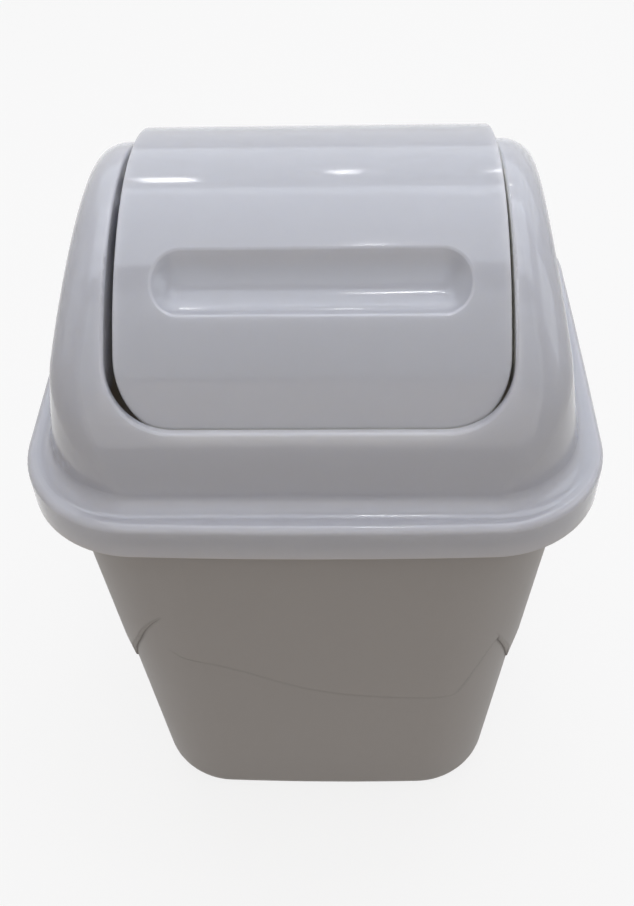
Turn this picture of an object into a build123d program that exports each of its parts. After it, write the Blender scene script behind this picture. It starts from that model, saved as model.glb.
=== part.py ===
"""Countertop swing-lid bin: a tapered bucket, a lift-off arched hood and a swinging flap.

Millimetres, +Z up. The origin is the centre of the foot on the worktop. The front,
with the push recess in the flap, faces -Y and the two cheeks of the hood face +X and -X.
Heights named *_RISE are measured up from the top face of the hood's flange.
"""
from build123d import *
import os
from math import atan2, cos, degrees, radians, sin, sqrt, tan

# ---- Hood flange and skirt ----------------------------------------------------------
FLANGE_WIDTH = 201.0      # outside, left to right
FLANGE_DEPTH = 184.0      # outside, front to back
LEDGE_SIDE = 8.2          # flat ledge left and right of the dome's foot
LEDGE_FRONT = 10.5        # the same at the front and back
FLANGE_CORNER = 41.0      # corner radius in plan
FLANGE_BOW = 2.6          # how far the front and back edges bulge out
FLANGE_SIDE_BOW = 0.7     # how far the left and right edges bulge out
FLANGE_TOP = 218.6        # height of the flange's top face above the worktop
SKIRT_HEIGHT = 14.4
SKIRT_EDGE_R = 2.4        # rounding between flange and skirt
HOOD_WALL = 2.0

# ---- Arched dome of the hood --------------------------------------------------------
DOME_WIDTH = FLANGE_WIDTH - 2 * LEDGE_SIDE
DOME_DEPTH = FLANGE_DEPTH - 2 * LEDGE_FRONT
DOME_CORNER = 34.0        # corner radius in plan at the foot
DOME_TOP_CORNER = 22.0    # the same at the height of the crest
ARCH_RISE = 74.4          # crest of the cheeks
ARCH_SPRING = 2.0         # height where the bands start to lean in
ARCH_SHOULDER_R = 60.0    # profile radius of the two shoulders
CHEEK_DRAFT = 12.0        # lean of the cheeks' outer sides, degrees
CREST_R = 13.0            # rounding along the cheeks' outer crest
FOOT_R = 6.0              # hollow fillet between dome and flange

# ---- Opening between the cheeks -----------------------------------------------------
OPENING_WIDTH = 128.4
SILL_RISE = 27.8          # top edge of the front and back bands
OPENING_CORNER_W = 21.5   # elliptical lower corners, seen from the front
OPENING_CORNER_H = 18.0
EDGE_ROLL = 1.1           # rounding all round the opening
CHEEK_WALL = 2.0          # inner wall of each cheek
CHEEK_WALL_RISE = 33.0    # its lower edge
RIB_WALL = 1.6            # hidden ribs that tie each cheek's two walls together
RIB_OFFSET = 30.0         # in front of and behind the pivot
RIB_RISE = 44.0           # their lower edge

# ---- Pivot --------------------------------------------------------------------------
PIVOT_RISE = 64.0
PIN_R = 3.0
PIN_FIT = 0.06            # radial clearance of a pin in its socket
PIN_ENGAGE = 3.7          # how far a centred pin reaches past the face of the cheek wall
PIN_TIP = 0.6             # chamfer on the pin's end
SOCKET_WALL = 3.0         # ring round each socket, behind the cheek wall
SOCKET_END = 1.0          # socket runs this far past the end of a pin pushed right over
SLOT_PINCH = 0.7          # the snap-in slot below the socket is narrower than the pin by this
SLOT_MOUTH = 9.0          # its flared mouth
SLOT_FLARE = 5.0

# ---- Flap ---------------------------------------------------------------------------
FLAP_SIDE_GAP = 1.7       # to each cheek when the flap is centred
FLAP_WIDTH = OPENING_WIDTH - 2 * FLAP_SIDE_GAP
FLAP_WALL = 1.8
FLAP_R = 87.1             # outer radius over the crown and front
FLAP_RISE = 76.6          # crown of the flap
FLAP_SIDE_REST = 0.8      # the flap rests this far to the right in its end play
PIN_REACH = FLAP_SIDE_GAP + PIN_ENGAGE
SOCKET_DEPTH = PIN_ENGAGE + FLAP_SIDE_GAP + SOCKET_END
FRONT_GAP = 1.1           # flap to the inside of the front band, at the sill
FRONT_TUCK = 5.6          # how far the front edge hangs below the sill
BACK_START = 29.0         # degrees behind the crown where the back shoulder starts
BACK_LAP = 7.0            # how far the back edge laps down over the back band
LAP_GAP = 0.4             # flap to the outside of the back band, at the back edge
FLAP_FRONT_CORNER_W = 28.0
FLAP_FRONT_CORNER_H = 24.0
FLAP_BACK_CORNER = 12.0
FLAP_EDGE_R = 0.6         # rounding all round its outer face
WEB_WALL = 1.8            # stiffening web under each side edge
WEB_DEPTH = 8.0
EAR_R = 9.0               # rounded ear that carries the pin
WEB_BACK_GAP = 1.0        # web stops this far above the opening's rear corners

# ---- Push recess in the flap --------------------------------------------------------
RECESS_WIDTH = 100.5
RECESS_HEIGHT = 22.1      # measured straight from lip to lip
RECESS_SCOOP_R = 15.8     # it is scooped out by an arc: steep above, almost level below
RECESS_END = 12.4         # its ends are elliptical, by this much of the arc's axis
RECESS_FROM_CROWN = 33.3  # degrees from the crown to the recess's middle
RECESS_LIP_R = 1.2        # rounding all round its lip

# ---- Bin body -----------------------------------------------------------------------
OVERHANG_SIDE = 8.3       # the flange stands out this far past the body's rim, each side
OVERHANG_FRONT = 6.7      # the same at the front and back
BODY_TOP_WIDTH = FLANGE_WIDTH - 2 * OVERHANG_SIDE
BODY_TOP_DEPTH = FLANGE_DEPTH - 2 * OVERHANG_FRONT
BODY_TOP_CORNER = 46.0
BODY_TOP_BOW = 2.4
BODY_FOOT_WIDTH = 154.8
BODY_FOOT_DEPTH = 137.2
BODY_FOOT_CORNER = 34.0
BODY_FOOT_BOW = 2.0
BODY_SIDE_BOW = 0.7
BODY_WALL = 2.0
BODY_FLOOR = 2.4
BODY_FOOT_R = 8.8         # rounding round the bottom
FOOT_RING = 9.0           # width of the ring it stands on
FOOT_RECESS = 1.4         # hollow of the bottom inside that ring
RIM_WALL = 2.0
RIM_DROP = 9.0            # turned-down edge of the rim
RIM_EDGE_R = 1.0
RIM_GAP = 0.6             # rim to the inside of the hood's skirt

# ---- Relief moulded into the body ---------------------------------------------------
# The upper body stands proud of the lower: a panel on the front and the back, and a grip
# pad on each side. Their lower edges climb at the corners and leave a notch there, and
# their upright edges run out round the corners, where the two forms meet.
PAD_RAISE = 1.9
PAD_BOTTOM = 86.0         # height of a pad's lower edge
PAD_HEEL = 0.5            # raise that is left at that edge
PAD_HEEL_RISE = 24.0      # height over which the pad grows to its full raise
PAD_FOOT_HALF = 51.7      # half width of the lower edge
PAD_KNEE_HALF = 67.3      # half width where its climbing ends turn upright
PAD_KNEE = 122.0          # height of that turn
PAD_FADE = 178.0          # height where the ends have run out past the body's front and back
PAD_FOOT_R = 9.0
PAD_KNEE_R = 60.0
PAD_EDGE_R = 2.0
PAD_TUCK = 0.4            # their form is this much shallower than the body, so it runs out there
PANEL_RAISE = 0.9
PANEL_FADE = 28.2         # in from the body's left side: where the panel has faded into the face
PANEL_FULL = 46.2         # and where it has its full raise
PANEL_TAIL = 8.0          # height that its lower edge climbs while it fades
PANEL_START = (38.2, 122.3)    # that edge: (in from the left side, height) where it starts
PANEL_DIP = (-6.6, 100.6)      # (X, height) of a point that it sweeps through
PANEL_LOW = (35.7, 91.0)       # (in from the right side, height) of its low end
PANEL_CLIMB = (24.0, 119.0)    # and of the short edge that climbs from there along the corner
PANEL_CORNER_R = 4.0
PANEL_EDGE_R = 1.8


# ---- Shared outlines ----------------------------------------------------------------
def bowed_rectangle(width, depth, corner, bow, side_bow):
    """Rounded rectangle whose sides bulge gently, as moulded bins have."""
    x, y = width / 2, depth / 2
    cx, cy = x - side_bow, y - bow
    with BuildSketch() as outline:
        with BuildLine():
            ThreePointArc((-cx, -cy), (0, -y), (cx, -cy))
            ThreePointArc((cx, -cy), (x, 0), (cx, cy))
            ThreePointArc((cx, cy), (0, y), (-cx, cy))
            ThreePointArc((-cx, cy), (-x, 0), (-cx, -cy))
        make_face()
        fillet(outline.vertices(), corner)
    return outline.sketch.face()


def flange_outline(inset):
    return bowed_rectangle(FLANGE_WIDTH - 2 * inset, FLANGE_DEPTH - 2 * inset,
                           FLANGE_CORNER - inset, FLANGE_BOW, FLANGE_SIDE_BOW)


def slab(face, bottom, top):
    """Upright prism of a plan outline between two heights."""
    return extrude(Plane.XY.offset(bottom) * face, top - bottom)


def arch(inset):
    """Centres, radii and joints of the three-centred arch profile, as (Y, rise) pairs."""
    half = DOME_DEPTH / 2 - inset
    shoulder_r = ARCH_SHOULDER_R - inset
    offset = half - shoulder_r
    height = ARCH_RISE - inset - ARCH_SPRING
    crown_r = (offset ** 2 + height ** 2 - shoulder_r ** 2) / (2 * (height - shoulder_r))
    crown_z = ARCH_RISE - inset - crown_r
    turn = atan2(ARCH_SPRING - crown_z, offset)
    joint = (offset + shoulder_r * cos(turn), ARCH_SPRING + shoulder_r * sin(turn))
    middle = (offset + shoulder_r * cos(turn / 2), ARCH_SPRING + shoulder_r * sin(turn / 2))
    return half, offset, shoulder_r, joint, middle


def arch_y(inset, rise):
    """Distance of the arch's face from the middle plane at a height on its shoulder."""
    _, offset, shoulder_r, _, _ = arch(inset)
    return offset + sqrt(shoulder_r ** 2 - (rise - ARCH_SPRING) ** 2)


# ---- Hood ---------------------------------------------------------------------------
def dome(inset):
    """Arched dome, inset from the outside by a wall; open faces run below the flange."""
    half, _, _, joint, middle = arch(inset)
    base = FLANGE_TOP - SKIRT_HEIGHT
    z = FLANGE_TOP
    with BuildSketch(Plane.YZ) as profile:
        with BuildLine():
            Line((-half, base), (-half, z + ARCH_SPRING))
            ThreePointArc((-half, z + ARCH_SPRING), (-middle[0], z + middle[1]), (-joint[0], z + joint[1]))
            ThreePointArc((-joint[0], z + joint[1]), (0, z + ARCH_RISE - inset), (joint[0], z + joint[1]))
            ThreePointArc((joint[0], z + joint[1]), (middle[0], z + middle[1]), (half, z + ARCH_SPRING))
            Line((half, z + ARCH_SPRING), (half, base))
            Line((half, base), (-half, base))
        make_face()
    vault = extrude(profile.sketch, DOME_WIDTH, both=True)

    lean = tan(radians(CHEEK_DRAFT))
    side_inset = inset / cos(radians(CHEEK_DRAFT))
    sections = []
    for rise, corner in ((-SKIRT_HEIGHT, DOME_CORNER + 3), (ARCH_RISE + 10, DOME_TOP_CORNER)):
        width = DOME_WIDTH - 2 * side_inset - 2 * lean * rise
        plan = bowed_rectangle(width, DOME_DEPTH + 1 - 2 * inset, corner - inset, 0.5, 0.3)
        sections.append(Plane.XY.offset(z + rise) * plan)
    block = loft(sections, ruled=True)
    shape = (vault & block).solid()

    crest = [e for e in shape.edges()
             if e.center().Z > base + 1 and abs(e.tangent_at(0.5).X) < 0.95]
    return fillet(crest, CREST_R - inset)


def front_outline(half_width, bottom, corner_w, corner_h, top):
    """U outline seen from the front, with elliptical lower corners."""
    with BuildSketch(Plane.XZ) as outline:
        with BuildLine():
            Line((-half_width, top), (-half_width, bottom + corner_h))
            EllipticalCenterArc((-half_width + corner_w, bottom + corner_h), corner_w, corner_h,
                                start_angle=180, arc_size=90)
            Line((-half_width + corner_w, bottom), (half_width - corner_w, bottom))
            EllipticalCenterArc((half_width - corner_w, bottom + corner_h), corner_w, corner_h,
                                start_angle=270, arc_size=90)
            Line((half_width, bottom + corner_h), (half_width, top))
            Line((half_width, top), (-half_width, top))
        make_face()
    return outline.sketch.face()


def through(face):
    """Prism of a front outline, right through from front to back."""
    return extrude(face, FLANGE_DEPTH, both=True)


def cheek_wall(side):
    """Inner wall of one cheek, with the socket and snap-in slot for the flap's pin."""
    face_x = side * OPENING_WIDTH / 2
    z = FLANGE_TOP
    wall = Pos(face_x + side * CHEEK_WALL / 2, 0, z + CHEEK_WALL_RISE + ARCH_RISE / 2)
    wall = wall * Box(CHEEK_WALL, FLANGE_DEPTH, ARCH_RISE)
    pivot = Pos(face_x, 0, z + PIVOT_RISE)
    along = Rot(0, side * 90, 0)
    ring_length = CHEEK_WALL + SOCKET_DEPTH
    up = (Align.CENTER, Align.CENTER, Align.MIN)
    ring = pivot * along * Cylinder(PIN_R + PIN_FIT + SOCKET_WALL, ring_length, align=up)
    bore = pivot * along * Cylinder(PIN_R + PIN_FIT, 2 * ring_length)
    neck_height = PIVOT_RISE - CHEEK_WALL_RISE + 1
    neck_width = 2 * PIN_R - SLOT_PINCH
    neck = Pos(face_x, 0, z + PIVOT_RISE - neck_height / 2) * Box(2 * ring_length, neck_width, neck_height)
    low = z + CHEEK_WALL_RISE
    with BuildSketch(Plane.YZ.offset(face_x - ring_length)) as flare:
        with BuildLine():
            Polyline((-SLOT_MOUTH / 2, low - 1), (SLOT_MOUTH / 2, low - 1), (SLOT_MOUTH / 2, low),
                     (neck_width / 2, low + SLOT_FLARE), (-neck_width / 2, low + SLOT_FLARE),
                     (-SLOT_MOUTH / 2, low), (-SLOT_MOUTH / 2, low - 1))
        make_face()
    mouth = extrude(flare.sketch, 2 * ring_length)
    return (wall + ring), (bore + neck + mouth)


def cheek_ribs(side):
    """Two ribs inside one cheek, between its inner and outer walls."""
    reach = DOME_WIDTH / 2 - OPENING_WIDTH / 2
    middle_x = side * (OPENING_WIDTH / 2 + reach / 2)
    rib = Pos(middle_x, 0, FLANGE_TOP + RIB_RISE + ARCH_RISE / 2) * Box(reach, RIB_WALL, ARCH_RISE)
    return Pos(0, -RIB_OFFSET, 0) * rib + Pos(0, RIB_OFFSET, 0) * rib


def same_place(edge, others):
    return any((edge.center() - other.center()).length < 0.01 for other in others)


def lid_hood():
    base = FLANGE_TOP - SKIRT_HEIGHT
    outside = slab(flange_outline(0), base, FLANGE_TOP) + dome(0)
    level = outside.edges().filter_by_position(Axis.Z, FLANGE_TOP - 0.01, FLANGE_TOP + 0.01)
    foot = [e for e in level if e.is_interior]
    brim = [e for e in level if not e.is_interior]
    outside = fillet(foot, FOOT_R)
    outside = fillet([e for e in outside.edges() if same_place(e, brim)], SKIRT_EDGE_R)

    before = outside.edges()
    outside = outside - through(front_outline(
        OPENING_WIDTH / 2, FLANGE_TOP + SILL_RISE, OPENING_CORNER_W, OPENING_CORNER_H,
        FLANGE_TOP + 2 * ARCH_RISE))
    cut = [e for e in outside.edges()
           if abs(e.center().X) < OPENING_WIDTH / 2 + 0.01 and abs(e.tangent_at(0.5).Y) < 0.999
           or abs(abs(e.center().X) - OPENING_WIDTH / 2) < 0.01 and e.geom_type == GeomType.CIRCLE]
    rim = [e for e in cut if e.center().Z > FLANGE_TOP + FOOT_R + 1 and not same_place(e, before)]
    outside = fillet(rim, EDGE_ROLL)

    inside = slab(flange_outline(HOOD_WALL), base, FLANGE_TOP - HOOD_WALL) + dome(HOOD_WALL)
    shell = outside - inside
    for side in (-1, 1):
        wall, slot = cheek_wall(side)
        shell = shell + ((wall + cheek_ribs(side)) & outside) - slot
    return shell


# ---- Flap ---------------------------------------------------------------------------
def flap_profile():
    """Key points of the flap's outer profile as (Y, rise): centres, radii, end angles."""
    centre_z = FLAP_RISE - FLAP_R
    at_sill = sqrt(FLAP_R ** 2 - (SILL_RISE - centre_z) ** 2)
    centre_y = at_sill - arch_y(HOOD_WALL, SILL_RISE) + FRONT_GAP
    front = -degrees(atan2(sqrt(FLAP_R ** 2 - (SILL_RISE - FRONT_TUCK - centre_z) ** 2),
                           SILL_RISE - FRONT_TUCK - centre_z))
    start = radians(BACK_START)
    joint = (centre_y + FLAP_R * sin(start), centre_z + FLAP_R * cos(start))
    _, offset, shoulder_r, _, _ = arch(0)
    end_rise = SILL_RISE - BACK_LAP
    lean = atan2(end_rise - ARCH_SPRING, arch_y(0, end_rise) - offset)
    stand_off = shoulder_r + LAP_GAP + FLAP_WALL
    end = (offset + stand_off * cos(lean), ARCH_SPRING + stand_off * sin(lean))
    dy, dz = end[0] - joint[0], end[1] - joint[1]
    back_r = -(dy ** 2 + dz ** 2) / (2 * (dy * sin(start) + dz * cos(start)))
    back_centre = (joint[0] - back_r * sin(start), joint[1] - back_r * cos(start))
    finish = degrees(atan2(end[0] - back_centre[0], end[1] - back_centre[1]))
    return (centre_y, centre_z), front, back_centre, back_r, finish


def flap_band(outer_inset, inner_inset, half_width):
    """Part of the flap's curved section between two depths below its outer face."""
    centre, front, back_centre, back_r, finish = flap_profile()

    def on(c, r, angle):
        return c[0] + r * sin(radians(angle)), FLANGE_TOP + c[1] + r * cos(radians(angle))

    middle, back_middle = (front + BACK_START) / 2, (BACK_START + finish) / 2
    outer, inner = FLAP_R - outer_inset, FLAP_R - inner_inset
    back_outer, back_inner = back_r - outer_inset, back_r - inner_inset
    with BuildSketch(Plane.YZ) as section:
        with BuildLine():
            ThreePointArc(on(centre, outer, front), on(centre, outer, middle), on(centre, outer, BACK_START))
            ThreePointArc(on(centre, outer, BACK_START), on(back_centre, back_outer, back_middle),
                          on(back_centre, back_outer, finish))
            Line(on(back_centre, back_outer, finish), on(back_centre, back_inner, finish))
            ThreePointArc(on(back_centre, back_inner, finish), on(back_centre, back_inner, back_middle),
                          on(centre, inner, BACK_START))
            ThreePointArc(on(centre, inner, BACK_START), on(centre, inner, middle), on(centre, inner, front))
            Line(on(centre, inner, front), on(centre, outer, front))
        make_face()
    return extrude(section.sketch, half_width, both=True)


def flap_trim():
    """Front and back outlines of the flap, as one solid to intersect with."""
    top = FLANGE_TOP + 2 * ARCH_RISE
    _, _, back_centre, back_r, finish = flap_profile()
    front_low = FLANGE_TOP + SILL_RISE - FRONT_TUCK - 3
    back_low = FLANGE_TOP + back_centre[1] + (back_r - FLAP_WALL) * cos(radians(finish))
    front = front_outline(FLAP_WIDTH / 2, front_low + 3, FLAP_FRONT_CORNER_W, FLAP_FRONT_CORNER_H, top)
    back = front_outline(FLAP_WIDTH / 2, back_low, FLAP_BACK_CORNER, FLAP_BACK_CORNER, top)
    return extrude(front, FLANGE_DEPTH) + extrude(back, -FLANGE_DEPTH)


def recess_frame():
    """Plane through both lips of the push recess, facing out, and the scoop's centre height."""
    centre, _, _, _, _ = flap_profile()
    lean = radians(RECESS_FROM_CROWN)
    chord_r = sqrt(FLAP_R ** 2 - (RECESS_HEIGHT / 2) ** 2)
    origin = (0, centre[0] - chord_r * sin(lean), FLANGE_TOP + centre[1] + chord_r * cos(lean))
    plane = Plane(origin=origin, x_dir=(1, 0, 0), z_dir=(0, -sin(lean), cos(lean)))
    return plane, sqrt(RECESS_SCOOP_R ** 2 - (RECESS_HEIGHT / 2) ** 2)


def recess_scoop(grow):
    """The push recess as a solid: a round scoop with elliptical ends, grown by a wall."""
    plane, lift = recess_frame()
    radius, end = RECESS_SCOOP_R + grow, RECESS_END + grow
    straight = (RECESS_WIDTH - RECESS_END * RECESS_HEIGHT / RECESS_SCOOP_R) / 2
    axis_plane = Plane(origin=plane.offset(lift).origin, x_dir=plane.x_dir, z_dir=plane.y_dir)
    with BuildSketch(axis_plane) as half:
        with BuildLine():
            Line((-straight - end, 0), (straight + end, 0))
            EllipticalCenterArc((straight, 0), end, radius, start_angle=0, arc_size=90)
            Line((straight, radius), (-straight, radius))
            EllipticalCenterArc((-straight, 0), end, radius, start_angle=90, arc_size=90)
        make_face()
    return revolve(half.sketch, Axis(axis_plane.origin, axis_plane.x_dir))


def flap_web(side):
    """Stiffening web under one side edge, with the ear and the pin it carries."""
    inner_x = side * (FLAP_WIDTH / 2 - WEB_WALL)
    slice_box = Pos(inner_x + side * WEB_WALL / 2, 0, FLANGE_TOP) * Box(WEB_WALL, 2 * FLANGE_DEPTH, 4 * ARCH_RISE)
    strip = flap_band(FLAP_WALL / 2, FLAP_WALL + WEB_DEPTH, FLAP_WIDTH / 2) & slice_box
    stop = FLANGE_TOP + SILL_RISE + OPENING_CORNER_H + WEB_BACK_GAP
    behind = Pos(0, FLANGE_DEPTH / 2, stop - ARCH_RISE) * Box(FLANGE_WIDTH, FLANGE_DEPTH, 2 * ARCH_RISE)
    strip = strip - behind
    along = Rot(0, side * 90, 0)
    up = (Align.CENTER, Align.CENTER, Align.MIN)
    pivot = Pos(inner_x, 0, FLANGE_TOP + PIVOT_RISE) * along
    ear = pivot * Cylinder(EAR_R, WEB_WALL, align=up)
    pin = pivot * Cylinder(PIN_R, WEB_WALL + PIN_REACH, align=up)
    pin = chamfer(pin.faces().sort_by(Axis.X)[-1 if side > 0 else 0].edges(), PIN_TIP)
    return strip + ear + pin


def off_outer_face(point):
    """How far a point lies from the flap's outer face."""
    centre, _, back_centre, back_r, _ = flap_profile()
    y, z = point.Y, point.Z - FLANGE_TOP
    front_miss = abs(sqrt((y - centre[0]) ** 2 + (z - centre[1]) ** 2) - FLAP_R)
    back_miss = abs(sqrt((y - back_centre[0]) ** 2 + (z - back_centre[1]) ** 2) - back_r)
    return min(front_miss, back_miss)


def swing_flap():
    skin = flap_band(0, FLAP_WALL, FLAP_WIDTH / 2) & flap_trim()
    outer = [f.edges() for f in skin.faces() if off_outer_face(f.center()) < 0.01]
    borders = [e for edges in outer for e in edges]
    rim = [e for e in borders if sum(same_place(e, edges) for edges in outer) == 1]
    skin = fillet(rim, FLAP_EDGE_R)

    scoop = recess_scoop(0)
    before = skin.edges()
    flap = skin - scoop
    lip = [e for e in flap.edges() if not same_place(e, before) and off_outer_face(e.position_at(0.5)) < 0.01]
    flap = fillet(lip, RECESS_LIP_R)
    bowl = recess_scoop(FLAP_WALL) & flap_band(FLAP_WALL / 2, FLAP_R / 2, FLAP_WIDTH / 2 - WEB_WALL)
    flap = flap + (bowl - scoop)
    for side in (-1, 1):
        zone = Pos(side * FLAP_WIDTH / 2, 0, FLANGE_TOP + PIVOT_RISE)
        zone = zone * Box(2 * PIN_REACH + 2, 4 * PIN_R, 4 * PIN_R)
        web = flap_web(side)
        flap = flap + (web & flap_trim()) + (web & zone)
    return Pos(FLAP_SIDE_REST, 0, 0) * flap


# ---- Bin body -----------------------------------------------------------------------
RIM_TOP = FLANGE_TOP - HOOD_WALL


def body_outline(height, inset, widen=0.0, tuck=0.0):
    """Plan outline of the tapered body at a height, inset all round.

    It can be widened on both sides, and tucked in at the front and back.
    """
    share = height / RIM_TOP
    sizes = [low + share * (high - low) for low, high in (
        (BODY_FOOT_WIDTH, BODY_TOP_WIDTH), (BODY_FOOT_DEPTH, BODY_TOP_DEPTH),
        (BODY_FOOT_CORNER, BODY_TOP_CORNER), (BODY_FOOT_BOW, BODY_TOP_BOW))]
    width, depth, corner, bow = sizes
    face = bowed_rectangle(width + 2 * (widen - inset), depth - 2 * (tuck + inset), corner - inset, bow, BODY_SIDE_BOW)
    return Plane.XY.offset(height) * face


def taper(inset, bottom, top, widen_low=0.0, widen_high=0.0, tuck=0.0):
    sections = [body_outline(bottom, inset, widen_low, tuck), body_outline(top, inset, widen_high, tuck)]
    return loft(sections, ruled=True).solid()


def rounded_foot(shape, radius):
    low = shape.faces().sort_by(Axis.Z)[0]
    return fillet(low.edges(), radius)


def softened(relief, along, radius):
    """Relief with its lower border rounded: the edges between its face and the walls cut along an axis."""
    walls = [f for f in relief.faces() if abs(f.normal_at().dot(along.direction)) < 0.001]
    border = [e for f in walls for e in f.edges()
              if abs(e.tangent_at(0.5).dot(along.direction)) < 0.9
              and abs(e.center().dot(along.direction)) > radius and e.center().Z < RIM_TOP - radius]
    return fillet(border, radius)


def grip_pads(inset):
    """Grip pads on both sides: the body's form widened, above lower edges with climbing ends."""
    top = RIM_TOP + 10
    past_front = BODY_TOP_DEPTH / 2 + PAD_RAISE
    with BuildSketch(Plane.YZ) as region:
        with BuildLine():
            Polyline((-PAD_FOOT_HALF, PAD_BOTTOM), (PAD_FOOT_HALF, PAD_BOTTOM), (PAD_KNEE_HALF, PAD_KNEE),
                     (past_front, PAD_FADE), (past_front, top), (-past_front, top), (-past_front, PAD_FADE),
                     (-PAD_KNEE_HALF, PAD_KNEE), (-PAD_FOOT_HALF, PAD_BOTTOM))
        make_face()
        fillet(region.vertices().filter_by_position(Axis.Y, PAD_BOTTOM - 1, PAD_BOTTOM + 1), PAD_FOOT_R)
        fillet(region.vertices().filter_by_position(Axis.Y, PAD_KNEE - 1, PAD_KNEE + 1), PAD_KNEE_R)
        offset(amount=-inset)
    low = PAD_BOTTOM - PAD_RAISE
    wide = taper(inset, low, RIM_TOP, PAD_RAISE, PAD_RAISE, PAD_TUCK)
    pads = (wide & extrude(region.sketch, FLANGE_WIDTH, both=True)).solid()
    pads = softened(pads, Axis.X, PAD_EDGE_R)
    growth = (PAD_RAISE - PAD_HEEL) / PAD_HEEL_RISE
    heel = taper(inset, low, RIM_TOP, PAD_HEEL + growth * (low - PAD_BOTTOM),
                 PAD_HEEL + growth * (RIM_TOP - PAD_BOTTOM))
    return pads & heel


def sweep_panel(inset):
    """Raised front panel whose lower edge sweeps down from left to right, then climbs."""
    top = RIM_TOP + 10
    side = BODY_TOP_WIDTH / 2
    start = (PANEL_START[0] - side, PANEL_START[1] + inset)
    dip = (PANEL_DIP[0], PANEL_DIP[1] + inset)
    low = (side - PANEL_LOW[0] - inset, PANEL_LOW[1] + inset)
    climb = (side - PANEL_CLIMB[0] - inset, PANEL_CLIMB[1])
    faded_x = PANEL_FADE - side
    end = (FLANGE_WIDTH / 2, PAD_FADE)
    with BuildSketch(Plane.XZ) as region:
        with BuildLine():
            Polyline(end, (end[0], top), (faded_x, top), (faded_x, start[1] + PANEL_TAIL), start)
            Spline(start, dip, low, tangents=((1, -0.2), (1, 0)))
            Spline(low, climb, end, tangents=((0.5, 1), (0.5, 1)))
        make_face()
        fillet(region.vertices().filter_by_position(Axis.X, low[0] - 0.1, low[0] + 0.1), PANEL_CORNER_R)
    plain = taper(inset, PANEL_LOW[1] - PANEL_RAISE, RIM_TOP)
    full = (Pos(0, -PANEL_RAISE, 0) * plain & extrude(region.sketch, FLANGE_DEPTH)).solid()
    full = softened(full, Axis.Y, PANEL_EDGE_R)
    turn = degrees(atan2(PANEL_RAISE, PANEL_FULL - PANEL_FADE))
    return full & plain.rotate(Axis((faded_x, -BODY_TOP_DEPTH / 2, 0), (0, 0, 1)), -turn)


def body_form(inset, bottom, foot_r):
    """The body's outside, or its inside when inset by the wall, with the relief on it."""
    panel = sweep_panel(inset)
    form = rounded_foot(taper(inset, bottom, RIM_TOP), foot_r)
    return form + grip_pads(inset) + panel + Rot(0, 0, 180) * panel


def bin_body():
    lip_inset = HOOD_WALL + RIM_GAP
    lip = slab(flange_outline(lip_inset), RIM_TOP - RIM_DROP, RIM_TOP)
    lip = fillet(lip.faces().sort_by(Axis.Z)[-1].edges(), RIM_EDGE_R)
    gutter = slab(flange_outline(lip_inset + RIM_WALL), RIM_TOP - RIM_DROP, RIM_TOP - RIM_WALL)
    outside = body_form(0, 0, BODY_FOOT_R)
    hollow = body_form(BODY_WALL, FOOT_RECESS + BODY_FLOOR, BODY_FOOT_R - BODY_WALL)
    foot = slab(body_outline(0, FOOT_RING + BODY_FOOT_R), 0, FOOT_RECESS)
    return (lip - gutter) + outside - hollow - foot


# ---- Nodes --------------------------------------------------------------------------
os.makedirs("parts", exist_ok=True)
for name, shape in (("bin_body", bin_body()), ("lid_hood", lid_hood()), ("swing_flap", swing_flap())):
    export_step(shape, "parts/" + name + ".step")
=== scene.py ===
"""Countertop swing-lid bin: materials, pale floor, soft studio light and camera."""
from math import cos, radians, sin
import bpy
from mathutils import Matrix, Vector


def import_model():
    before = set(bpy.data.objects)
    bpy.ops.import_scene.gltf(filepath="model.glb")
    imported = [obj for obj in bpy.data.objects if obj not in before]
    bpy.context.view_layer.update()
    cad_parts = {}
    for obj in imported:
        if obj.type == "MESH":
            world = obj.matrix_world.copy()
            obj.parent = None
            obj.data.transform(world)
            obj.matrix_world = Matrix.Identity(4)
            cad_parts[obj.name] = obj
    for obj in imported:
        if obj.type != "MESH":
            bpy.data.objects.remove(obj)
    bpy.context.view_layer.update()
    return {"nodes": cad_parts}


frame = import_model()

# ---- Colours, linear -------------------------------------------------------------------
LID_COLOUR = (0.605, 0.612, 0.675)
# painted shade: the body is the same pale plastic as the lid, its colour set darker and warmer to
# stand in for the shade on its sides
BODY_COLOUR_SHADED = (0.45, 0.432, 0.42)
GAP_PAINTED_LIGHT_COLOUR = (0.95, 0.94, 0.87)      # painted light: a paler, warmer tone standing in for light through the thin walls
PALE = (0.965, 0.965, 0.965, 1)      # the background as the camera sees it
FLOOR_LIT = (0.9, 0.9, 0.9, 1)       # the part of the floor that keeps the shadow
FLOOR_BOUNCE = (0.30, 0.27, 0.24, 1)   # the floor as the object sees it
ROOM_TOP = (0.37, 0.31, 0.26)        # the room's glow from above, on the object only
ROOM_SIDE = (0.05, 0.045, 0.04)
DAYLIGHT = (0.86, 0.93, 1.0)
CEILING_LIGHT = (0.84, 0.90, 1.0)
SIDE_LIGHT = (0.88, 0.94, 1.0)
WARM_LIGHT = (1.0, 0.96, 0.92)
WHITE_LIGHT = (1.0, 1.0, 1.0)

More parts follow.
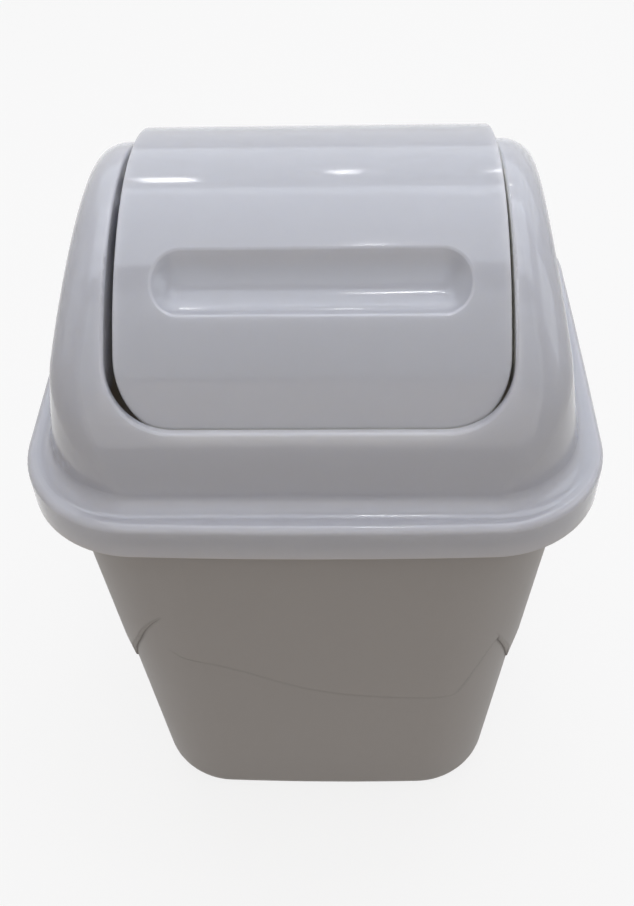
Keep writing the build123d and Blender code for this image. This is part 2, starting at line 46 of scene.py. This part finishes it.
# ---- Plastic shared by the lid and the body --------------------------------------------
PLASTIC_IOR = 1.49
GLOW_RADIUS = (1.0, 0.95, 0.85)      # how far red, green and blue travel inside
GLOW_SCALE = 0.016                   # metres
FLOW_DARKER, FLOW_PALER = 0.985, 1.012   # broad flow marks, times the colour
FLOW_RANGE = (0.35, 0.65)            # the part of the noise that shows
SPECK_SCALE, SPECK_TONE, SPECK_MOST = 160.0, 0.90, 0.06
SPECK_RANGE = (0.4, 0.6)
WORN_TONE, WORN_MOST = 1.18, 0.25    # edges rubbed paler
WORN_RANGE = (0.52, 0.60)            # pointiness of an outer edge
# painted shade along creases: its tone, reach and range
CREASE_SHADE_TONE = 0.30
CREASE_SHADE_REACH = 0.002                   # metres over which a crease is darkened with painted shade
CREASE_SHADE_RANGE = (0.95, 0.999)           # averaged normal against the true one
# painted light in narrow gaps: reach, samples and range of the occlusion that drives it
GAP_PAINTED_LIGHT_REACH = 0.003                    # metres that count as deep in a gap
GAP_PAINTED_LIGHT_SAMPLES = 4
GAP_PAINTED_LIGHT_RANGE = (0.2, 0.6)               # open share of the directions around
HANDLED_SCALE, HANDLED_RANGE = 14.0, (0.35, 0.7)
HANDLED_SPREAD = (-0.015, 0.025)     # roughness about the gloss asked for
SCUFF_STRETCH = (25.0, 420.0, 420.0)     # long and fine, along X before the turn
SCUFF_TURN = (0.0, 0.25, 0.35)       # radians
SCUFF_RANGE, SCUFF_MOST = (0.62, 0.72), 0.02
PEEL_SCALE, PEEL_BUMP, PEEL_DEPTH = 55.0, 0.06, 0.0004    # orange peel
SKIN_SCALE, SKIN_BUMP, SKIN_DEPTH = 900.0, 0.04, 0.0001   # a much finer texture

# ---- Floor and room --------------------------------------------------------------------
FLOOR_SIDE = 12.0                    # metres
FLOOR_LIT_SHARE = 0.14
ROOM_FADE = (0.1, 0.8)               # height over which the glow changes, on a unit sphere

# ---- Lamps: name, place, aim, size, watts, colour --------------------------------------
LAMPS = (
    ("ceiling_soft", (0.0, 0.40, 1.7), (0, 0, 0.25), (1.5, 1.2), 11.5, CEILING_LIGHT),
    ("back_soft", (0.2, 1.25, 1.28), (0, 0, 0.22), (2.8, 1.1), 9.0, DAYLIGHT),
    ("front_high", (0.0, -0.95, 1.4), (0, 0, 0.25), (1.3, 1.1), 4.2, DAYLIGHT),
    ("front_low", (0.0, -1.4, 0.58), (0, 0, 0.25), (1.4, 0.8), 3.5, WARM_LIGHT),
    ("left_side", (-1.2, 0.0, 1.0), (0, 0, 0.22), (0.8, 0.8), 1.0, DAYLIGHT),
    ("right_side", (1.2, 0.0, 1.0), (0, 0, 0.22), (0.8, 0.8), 3.0, SIDE_LIGHT),
    # small bright panels high behind: short streaks on the crests
    ("streak_left", (-0.29, 1.025, 1.356), (-0.048, 0, 0.295), (0.075, 0.07), 0.28, WHITE_LIGHT),
    ("streak_mid", (0.004, 1.13, 1.279), (0.01, 0, 0.295), (0.035, 0.07), 0.11, WHITE_LIGHT),
    ("streak_right", (0.258, 1.114, 1.279), (0.061, 0, 0.295), (0.02, 0.07), 0.045, WHITE_LIGHT),
    # a long narrow one overhead: the line in the recess
    ("tube_over", (0.085, 0.038, 1.67), (0.03, -0.04, 0.275), (0.16, 0.05), 0.6, WHITE_LIGHT),
)

# ---- Camera ----------------------------------------------------------------------------
CAMERA_PLACE = (0.01314, -0.31638, 0.48537)
CAMERA_YAW = -2.57                   # degrees, positive to the right
CAMERA_PITCH = 45.743                # degrees, positive looks down
CAMERA_ROLL = -1.98                  # degrees
SENSOR = 36.0                        # mm, along the picture's longer side
FOCAL_SHARE = 1080.0 / 906.0         # focal length over the picture's longer side
NEAR_CLIP = 0.01                     # metres


# ---- Node helpers --------------------------------------------------------------------
def node(tree, kind, **inputs):
    """A new node, with constants on the sockets named, an underscore standing for a space."""
    made = tree.nodes.new(kind)
    for name, value in inputs.items():
        made.inputs[name.replace("_", " ")].default_value = value
    return made


def cleared(thing):
    """The node tree of a new material or world, empty."""
    thing.use_nodes = True
    thing.node_tree.nodes.clear()
    return thing.node_tree


def link(tree, source, target):
    tree.links.new(source, target)


def noise(tree, coords, scale, detail, rough=0.5):
    made = node(tree, "ShaderNodeTexNoise", Scale=scale, Detail=detail, Roughness=rough)
    link(tree, coords, made.inputs["Vector"])
    return made.outputs["Fac"]


def ranged(tree, source, low, high, out_low, out_high):
    """The source mapped from low..high to out_low..out_high, and held there beyond."""
    made = node(tree, "ShaderNodeMapRange",
                From_Min=low, From_Max=high, To_Min=out_low, To_Max=out_high)
    link(tree, source, made.inputs["Value"])
    return made.outputs["Result"]


MIX_FACTOR, MIX_FIRST, MIX_SECOND, MIX_RESULT = 0, 6, 7, 2   # a mix node's colour sockets


def mix_colour(tree, factor, first, second):
    """First where the factor is 0, second where it is 1. Each is a colour or an output."""
    made = tree.nodes.new("ShaderNodeMix")
    made.data_type = "RGBA"
    for socket, value in ((MIX_FIRST, first), (MIX_SECOND, second)):
        if isinstance(value, tuple):
            made.inputs[socket].default_value = (*value, 1.0)
        else:
            link(tree, value, made.inputs[socket])
    link(tree, factor, made.inputs[MIX_FACTOR])
    return made.outputs[MIX_RESULT]


def mix_shader(tree, factor, first, second):
    """First where the factor is 0, second where it is 1. The factor is a number or an output."""
    made = tree.nodes.new("ShaderNodeMixShader")
    if isinstance(factor, float):
        made.inputs[0].default_value = factor
    else:
        link(tree, factor, made.inputs[0])
    link(tree, first.outputs[0], made.inputs[1])
    link(tree, second.outputs[0], made.inputs[2])
    return made


def combined(tree, operation, first, second):
    """Two outputs joined by a math operation."""
    made = tree.nodes.new("ShaderNodeMath")
    made.operation = operation
    link(tree, first, made.inputs[0])
    link(tree, second, made.inputs[1])
    return made.outputs[0]


def scaled(colour, amount):
    """The colour made brighter or darker, each channel held at 1."""
    return tuple(min(1.0, channel * amount) for channel in colour)


def plastic(name, colour, gloss, flow_scale, glow, shine, crease_shade_amount):
    """Injection-moulded plastic with flow marks, worn edges, scuffs and an orange-peel skin, with
    painted shade in the creases and painted light in narrow gaps.

    gloss is the roughness, flow_scale the noise scale of the flow marks, glow the subsurface
    weight, shine the specular level and the last argument how much painted shade darkens the
    creases."""
    material = bpy.data.materials.new(name)
    tree = cleared(material)
    out = tree.nodes.new("ShaderNodeOutputMaterial")
    shader = node(tree, "ShaderNodeBsdfPrincipled", IOR=PLASTIC_IOR, Specular_IOR_Level=shine,
                  Subsurface_Weight=glow, Subsurface_Radius=GLOW_RADIUS,
                  Subsurface_Scale=GLOW_SCALE)
    link(tree, shader.outputs["BSDF"], out.inputs["Surface"])
    coords = tree.nodes.new("ShaderNodeTexCoord").outputs["Object"]

    # colour: broad flow marks, then finer mottling, then rubbed edges
    broad = noise(tree, coords, flow_scale, 2.0)
    fine = noise(tree, coords, SPECK_SCALE, 4.0, 0.6)
    flow = ranged(tree, broad, *FLOW_RANGE, 0.0, 1.0)
    tone = mix_colour(tree, flow, scaled(colour, FLOW_DARKER), scaled(colour, FLOW_PALER))
    specks = ranged(tree, fine, *SPECK_RANGE, 0.0, SPECK_MOST)
    grain = mix_colour(tree, specks, tone, scaled(colour, SPECK_TONE))
    geometry = tree.nodes.new("ShaderNodeNewGeometry")
    worn = ranged(tree, geometry.outputs["Pointiness"], *WORN_RANGE, 0.0, WORN_MOST)
    rubbed = mix_colour(tree, worn, grain, scaled(colour, WORN_TONE))

    # painted shade: the colour darkened along the creases, where the averaged normal leaves the
    # true one
    spread = node(tree, "ShaderNodeBevel", Radius=CREASE_SHADE_REACH)
    bend = tree.nodes.new("ShaderNodeVectorMath")
    bend.operation = "DOT_PRODUCT"
    link(tree, spread.outputs["Normal"], bend.inputs[0])
    link(tree, geometry.outputs["Normal"], bend.inputs[1])
    crease_shade_mask = ranged(tree, bend.outputs["Value"], *CREASE_SHADE_RANGE, crease_shade_amount, 0.0)
    crease_shaded = mix_colour(tree, crease_shade_mask, rubbed, scaled(colour, CREASE_SHADE_TONE))

    # painted light: deep in a narrow gap the colour is made paler and warmer, standing in for
    # light passing through the thin walls
    around = node(tree, "ShaderNodeAmbientOcclusion", Distance=GAP_PAINTED_LIGHT_REACH)
    around.samples = GAP_PAINTED_LIGHT_SAMPLES
    gap_painted_light = ranged(tree, around.outputs["AO"], *GAP_PAINTED_LIGHT_RANGE, 1.0, 0.0)
    link(tree, mix_colour(tree, gap_painted_light, crease_shaded, GAP_PAINTED_LIGHT_COLOUR), shader.inputs["Base Color"])

    # gloss: handled areas are a little duller, with fine hairline scuffs, and the creases under
    # painted shade are duller as well
    handled = noise(tree, coords, HANDLED_SCALE, 3.0)
    stretch = node(tree, "ShaderNodeMapping", Scale=SCUFF_STRETCH, Rotation=SCUFF_TURN)
    link(tree, coords, stretch.inputs["Vector"])
    hair = noise(tree, stretch.outputs["Vector"], 1.0, 2.0)
    smoothest, dullest = (gloss + change for change in HANDLED_SPREAD)
    dull = ranged(tree, handled, *HANDLED_RANGE, smoothest, dullest)
    scuff = ranged(tree, hair, *SCUFF_RANGE, 0.0, SCUFF_MOST)
    marked = combined(tree, "ADD", dull, scuff)
    link(tree, combined(tree, "ADD", marked, crease_shade_mask), shader.inputs["Roughness"])

    # skin: orange peel of a few millimetres and a much finer texture
    peel = noise(tree, coords, PEEL_SCALE, 2.0)
    skin = noise(tree, coords, SKIN_SCALE, 2.0)
    coarse_bump = node(tree, "ShaderNodeBump", Strength=PEEL_BUMP, Distance=PEEL_DEPTH)
    fine_bump = node(tree, "ShaderNodeBump", Strength=SKIN_BUMP, Distance=SKIN_DEPTH)
    link(tree, peel, coarse_bump.inputs["Height"])
    link(tree, skin, fine_bump.inputs["Height"])
    link(tree, coarse_bump.outputs["Normal"], fine_bump.inputs["Normal"])
    link(tree, fine_bump.outputs["Normal"], shader.inputs["Normal"])
    return material


def give(node_name, material):
    """The material on every slot of a CAD node."""
    part = frame["nodes"][node_name]
    for slot in part.material_slots:
        slot.material = material


# ---- Floor and world: pale to the camera, a dim warm room to the object ----------------
def seen_directly(tree):
    """1 for camera, glossy and transmission rays, 0 for the diffuse light on the object."""
    path = tree.nodes.new("ShaderNodeLightPath").outputs
    either = combined(tree, "MAXIMUM", path["Is Camera Ray"], path["Is Glossy Ray"])
    return combined(tree, "MAXIMUM", either, path["Is Transmission Ray"])


def floor():
    bpy.ops.mesh.primitive_plane_add(size=FLOOR_SIDE, location=(0, 0, 0))
    plane = bpy.context.object
    plane.name = "floor"
    material = bpy.data.materials.new("floor_pale")
    tree = cleared(material)
    out = tree.nodes.new("ShaderNodeOutputMaterial")
    # to the camera: mostly an even pale tone, with a share of real light that keeps the shadow
    even = node(tree, "ShaderNodeEmission", Color=PALE)
    lit = node(tree, "ShaderNodeBsdfDiffuse", Color=FLOOR_LIT)
    pale = mix_shader(tree, FLOOR_LIT_SHARE, even, lit)
    # to the object: a dull warm surface
    dull = node(tree, "ShaderNodeBsdfDiffuse", Color=FLOOR_BOUNCE)
    mix = mix_shader(tree, seen_directly(tree), dull, pale)
    link(tree, mix.outputs[0], out.inputs["Surface"])
    plane.data.materials.append(material)


def world():
    made = bpy.data.worlds.new("room")
    tree = cleared(made)
    out = tree.nodes.new("ShaderNodeOutputWorld")
    coords = tree.nodes.new("ShaderNodeTexCoord").outputs["Generated"]
    split = tree.nodes.new("ShaderNodeSeparateXYZ")
    link(tree, coords, split.inputs[0])
    height = ranged(tree, split.outputs["Z"], *ROOM_FADE, 0.0, 1.0)
    room = tree.nodes.new("ShaderNodeBackground")
    link(tree, mix_colour(tree, height, ROOM_SIDE, ROOM_TOP), room.inputs["Color"])
    backdrop = node(tree, "ShaderNodeBackground", Color=PALE)
    mix = mix_shader(tree, seen_directly(tree), room, backdrop)
    link(tree, mix.outputs[0], out.inputs["Surface"])
    bpy.context.scene.world = made


def lamp(name, place, target, size, watts, colour):
    """A flat rectangular lamp that faces its target."""
    data = bpy.data.lights.new(name, "AREA")
    data.shape = "RECTANGLE"
    data.size, data.size_y = size
    data.energy = watts
    data.color = colour
    thing = bpy.data.objects.new(name, data)
    thing.location = place
    aim = Vector(target) - Vector(place)
    thing.rotation_euler = aim.to_track_quat("-Z", "Y").to_euler()
    bpy.context.collection.objects.link(thing)


def camera():
    """Placed as the picture was taken: turned by yaw, tilted down by pitch, leaned by roll."""
    yaw, pitch, roll = radians(CAMERA_YAW), radians(CAMERA_PITCH), radians(CAMERA_ROLL)
    ahead = Vector((sin(yaw) * cos(pitch), cos(yaw) * cos(pitch), -sin(pitch)))
    level = Vector((cos(yaw), -sin(yaw), 0))
    above = level.cross(ahead)
    right = level * cos(roll) + above * sin(roll)
    up = above * cos(roll) - level * sin(roll)
    data = bpy.data.cameras.new("camera")
    data.lens = FOCAL_SHARE * SENSOR
    data.sensor_width = SENSOR
    data.clip_start = NEAR_CLIP
    thing = bpy.data.objects.new("camera", data)
    turn = Matrix((right, up, -ahead)).transposed().to_4x4()
    thing.matrix_world = Matrix.Translation(Vector(CAMERA_PLACE)) @ turn
    bpy.context.collection.objects.link(thing)
    bpy.context.scene.camera = thing


# ---- Build -----------------------------------------------------------------------------
lid = plastic("lid_plastic_moulded", LID_COLOUR,
              gloss=0.09, flow_scale=9.0, glow=0.8, shine=0.5, crease_shade_amount=0.0)
# the body's colour carries painted shade
body = plastic("body_plastic_moulded", BODY_COLOUR_SHADED,
               gloss=0.42, flow_scale=7.0, glow=0.25, shine=0.12, crease_shade_amount=0.6)
give("lid_hood", lid)
give("swing_flap", lid)
give("bin_body", body)
floor()
world()
for values in LAMPS:
    lamp(*values)
camera()
bpy.context.scene.view_settings.view_transform = "Standard"
